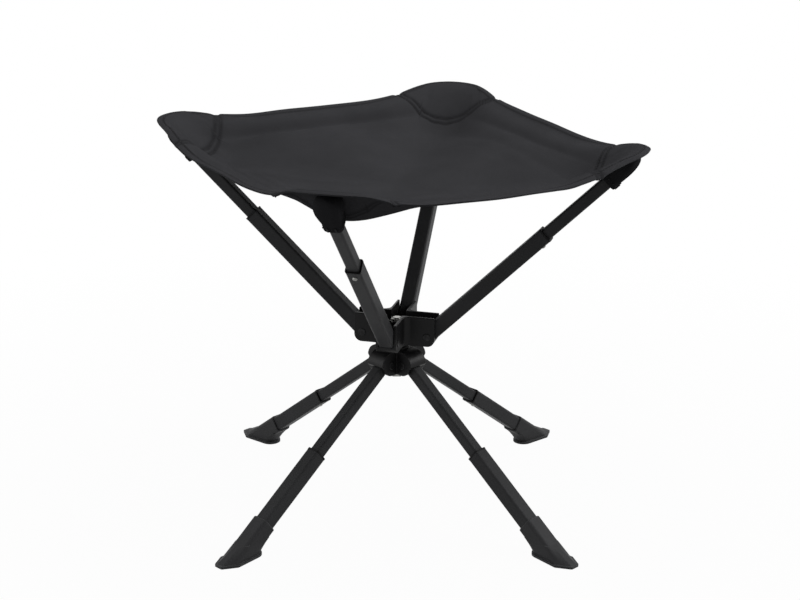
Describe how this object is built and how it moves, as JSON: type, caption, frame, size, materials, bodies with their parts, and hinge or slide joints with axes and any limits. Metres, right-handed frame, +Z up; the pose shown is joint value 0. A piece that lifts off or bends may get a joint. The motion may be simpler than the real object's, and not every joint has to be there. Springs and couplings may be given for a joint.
{
  "type": "camping stool",
  "caption": "Folding camping stool: sling seat on telescopic arms, swivelling hub and telescopic legs with moulded feet.",
  "frame": {"origin": "on the floor under the swivel axis", "axes": "+Z up along the swivel axis, the front of the picture towards -Y, +X to the right"},
  "size_m": [0.5566, 0.5566, 0.4504],
  "materials": {
    "tube_coat": "fine-textured dark grey powder coat",
    "hub_plastic": "black moulded nylon, satin",
    "bright_zinc": "bright zinc plate",
    "black_rivet": "black coated rivet",
    "bush_plastic": "black plastic, matt",
    "washer_plastic": "natural acetal",
    "foot_rubber": "dark grey moulded rubber, satin",
    "seat_fabric": "charcoal plain-woven polyester",
    "pocket_fabric": "charcoal plain-woven polyester, doubled"
  },
  "bodies": {
    "base": {"lower_hub": "hub_plastic", "leg_pivot_pins": "black_rivet", "swivel_bolt": "bright_zinc", "thrust_washer": "washer_plastic", "top_washer": "bright_zinc", "lock_nut": "bright_zinc"},
    "head": {"upper_hub": "hub_plastic", "swivel_bush": "washer_plastic", "arm_pivot_pins": "black_rivet", "seat_panel": "seat_fabric"},
    "leg_1": {"leg_1_upper_tube": "tube_coat"},
    "leg_1_lower": {"leg_1_lower_tube": "tube_coat", "leg_1_guide_bush": "bush_plastic", "leg_1_foot": "foot_rubber"},
    "leg_1_button": {"leg_1_snap_button": "bright_zinc"},
    "leg_2": {"leg_2_upper_tube": "tube_coat"},
    "leg_2_lower": {"leg_2_lower_tube": "tube_coat", "leg_2_guide_bush": "bush_plastic", "leg_2_foot": "foot_rubber"},
    "leg_2_button": {"leg_2_snap_button": "bright_zinc"},
    "leg_3": {"leg_3_upper_tube": "tube_coat"},
    "leg_3_lower": {"leg_3_lower_tube": "tube_coat", "leg_3_guide_bush": "bush_plastic", "leg_3_foot": "foot_rubber"},
    "leg_3_button": {"leg_3_snap_button": "bright_zinc"},
    "leg_4": {"leg_4_upper_tube": "tube_coat"},
    "leg_4_lower": {"leg_4_lower_tube": "tube_coat", "leg_4_guide_bush": "bush_plastic", "leg_4_foot": "foot_rubber"},
    "leg_4_button": {"leg_4_snap_button": "bright_zinc"},
    "arm_1": {"arm_1_lower_tube": "tube_coat", "arm_1_guide_bush": "bush_plastic"},
    "arm_1_upper": {"arm_1_upper_tube": "tube_coat", "arm_1_end_cap": "bush_plastic", "seat_pocket_1": "pocket_fabric"},
    "arm_1_button": {"arm_1_snap_button": "bright_zinc"},
    "arm_2": {"arm_2_lower_tube": "tube_coat", "arm_2_guide_bush": "bush_plastic"},
    "arm_2_upper": {"arm_2_upper_tube": "tube_coat", "arm_2_end_cap": "bush_plastic", "seat_pocket_2": "pocket_fabric"},
    "arm_2_button": {"arm_2_snap_button": "bright_zinc"},
    "arm_3": {"arm_3_lower_tube": "tube_coat", "arm_3_guide_bush": "bush_plastic"},
    "arm_3_upper": {"arm_3_upper_tube": "tube_coat", "arm_3_end_cap": "bush_plastic", "seat_pocket_3": "pocket_fabric"},
    "arm_3_button": {"arm_3_snap_button": "bright_zinc"},
    "arm_4": {"arm_4_lower_tube": "tube_coat", "arm_4_guide_bush": "bush_plastic"},
    "arm_4_upper": {"arm_4_upper_tube": "tube_coat", "arm_4_end_cap": "bush_plastic", "seat_pocket_4": "pocket_fabric"},
    "arm_4_button": {"arm_4_snap_button": "bright_zinc"}
  },
  "joints": [
    {"name": "swivel", "type": "hinge", "parent": "base", "child": "head", "pos_m": [0, 0, 0.1895], "axis": [0, 0, 1], "continuous": true},
    {"name": "leg_1_fold", "type": "hinge", "parent": "base", "child": "leg_1", "pos_m": [0.01414, 0.01414, 0.1732], "axis": [-0.7071, 0.7071, 0], "range_deg": [0, 47.4]},
    {"name": "leg_1_telescope", "type": "slide", "parent": "leg_1", "child": "leg_1_lower", "axis": [-0.5677, -0.5677, 0.5962], "range_m": [0, 0.085], "deforming": ["leg_1_snap_button"]},
    {"name": "leg_1_button_press", "type": "slide", "parent": "leg_1", "child": "leg_1_button", "axis": [0.4216, 0.4216, 0.8028], "range_m": [0, 0.0038], "stiffness_N_per_m": 2000, "deforming": ["leg_1_snap_button"]},
    {"name": "leg_2_fold", "type": "hinge", "parent": "base", "child": "leg_2", "pos_m": [-0.01414, 0.01414, 0.1732], "axis": [-0.7071, -0.7071, 0], "range_deg": [0, 47.4]},
    {"name": "leg_2_telescope", "type": "slide", "parent": "leg_2", "child": "leg_2_lower", "axis": [0.5677, -0.5677, 0.5962], "range_m": [0, 0.085], "deforming": ["leg_2_snap_button"]},
    {"name": "leg_2_button_press", "type": "slide", "parent": "leg_2", "child": "leg_2_button", "axis": [-0.4216, 0.4216, 0.8028], "range_m": [0, 0.0038], "stiffness_N_per_m": 2000, "deforming": ["leg_2_snap_button"]},
    {"name": "leg_3_fold", "type": "hinge", "parent": "base", "child": "leg_3", "pos_m": [-0.01414, -0.01414, 0.1732], "axis": [0.7071, -0.7071, 0], "range_deg": [0, 47.4]},
    {"name": "leg_3_telescope", "type": "slide", "parent": "leg_3", "child": "leg_3_lower", "axis": [0.5677, 0.5677, 0.5962], "range_m": [0, 0.085], "deforming": ["leg_3_snap_button"]},
    {"name": "leg_3_button_press", "type": "slide", "parent": "leg_3", "child": "leg_3_button", "axis": [-0.4216, -0.4216, 0.8028], "range_m": [0, 0.0038], "stiffness_N_per_m": 2000, "deforming": ["leg_3_snap_button"]},
    {"name": "leg_4_fold", "type": "hinge", "parent": "base", "child": "leg_4", "pos_m": [0.01414, -0.01414, 0.1732], "axis": [0.7071, 0.7071, 0], "range_deg": [0, 47.4]},
    {"name": "leg_4_telescope", "type": "slide", "parent": "leg_4", "child": "leg_4_lower", "axis": [-0.5677, 0.5677, 0.5962], "range_m": [0, 0.085], "deforming": ["leg_4_snap_button"]},
    {"name": "leg_4_button_press", "type": "slide", "parent": "leg_4", "child": "leg_4_button", "axis": [0.4216, -0.4216, 0.8028], "range_m": [0, 0.0038], "stiffness_N_per_m": 2000, "deforming": ["leg_4_snap_button"]},
    {"name": "arm_1_fold", "type": "hinge", "parent": "head", "child": "arm_1", "pos_m": [0.03777, -0.01012, 0.2078], "axis": [-0.2588, -0.9659, 0], "range_deg": [0, 45.7], "deforming": ["seat_panel"]},
    {"name": "arm_1_telescope", "type": "slide", "parent": "arm_1", "child": "arm_1_upper", "axis": [-0.6913, 0.1852, -0.6984], "range_m": [0, 0.0925], "deforming": ["arm_1_snap_button", "seat_panel"]},
    {"name": "arm_1_button_press", "type": "slide", "parent": "arm_1_upper", "child": "arm_1_button", "axis": [-0.6746, 0.1808, 0.7157], "range_m": [0, 0.0038], "stiffness_N_per_m": 2000, "deforming": ["arm_1_snap_button"]},
    {"name": "arm_2_fold", "type": "hinge", "parent": "head", "child": "arm_2", "pos_m": [0.01012, 0.03777, 0.2078], "axis": [0.9659, -0.2588, 0], "range_deg": [0, 45.7], "deforming": ["seat_panel"]},
    {"name": "arm_2_telescope", "type": "slide", "parent": "arm_2", "child": "arm_2_upper", "axis": [-0.1852, -0.6913, -0.6984], "range_m": [0, 0.0925], "deforming": ["arm_2_snap_button", "seat_panel"]},
    {"name": "arm_2_button_press", "type": "slide", "parent": "arm_2_upper", "child": "arm_2_button", "axis": [-0.1808, -0.6746, 0.7157], "range_m": [0, 0.0038], "stiffness_N_per_m": 2000, "deforming": ["arm_2_snap_button"]},
    {"name": "arm_3_fold", "type": "hinge", "parent": "head", "child": "arm_3", "pos_m": [-0.03777, 0.01012, 0.2078], "axis": [0.2588, 0.9659, 0], "range_deg": [0, 45.7], "deforming": ["seat_panel"]},
    {"name": "arm_3_telescope", "type": "slide", "parent": "arm_3", "child": "arm_3_upper", "axis": [0.6913, -0.1852, -0.6984], "range_m": [0, 0.0925], "deforming": ["arm_3_snap_button", "seat_panel"]},
    {"name": "arm_3_button_press", "type": "slide", "parent": "arm_3_upper", "child": "arm_3_button", "axis": [0.6746, -0.1808, 0.7157], "range_m": [0, 0.0038], "stiffness_N_per_m": 2000, "deforming": ["arm_3_snap_button"]},
    {"name": "arm_4_fold", "type": "hinge", "parent": "head", "child": "arm_4", "pos_m": [-0.01012, -0.03777, 0.2078], "axis": [-0.9659, 0.2588, 0], "range_deg": [0, 45.7], "deforming": ["seat_panel"]},
    {"name": "arm_4_telescope", "type": "slide", "parent": "arm_4", "child": "arm_4_upper", "axis": [0.1852, 0.6913, -0.6984], "range_m": [0, 0.0925], "deforming": ["arm_4_snap_button", "seat_panel"]},
    {"name": "arm_4_button_press", "type": "slide", "parent": "arm_4_upper", "child": "arm_4_button", "axis": [0.1808, 0.6746, 0.7157], "range_m": [0, 0.0038], "stiffness_N_per_m": 2000, "deforming": ["arm_4_snap_button"]}
  ],
  "couplings": [
    {"joint": "arm_1_telescope", "follows": "arm_1_fold", "m_per_rad": 0.11534},
    {"joint": "arm_2_fold", "follows": "arm_1_fold", "ratio": 1},
    {"joint": "arm_2_telescope", "follows": "arm_1_fold", "m_per_rad": 0.11534},
    {"joint": "arm_3_fold", "follows": "arm_1_fold", "ratio": 1},
    {"joint": "arm_3_telescope", "follows": "arm_1_fold", "m_per_rad": 0.11534},
    {"joint": "arm_4_fold", "follows": "arm_1_fold", "ratio": 1},
    {"joint": "arm_4_telescope", "follows": "arm_1_fold", "m_per_rad": 0.11534}
  ]
}
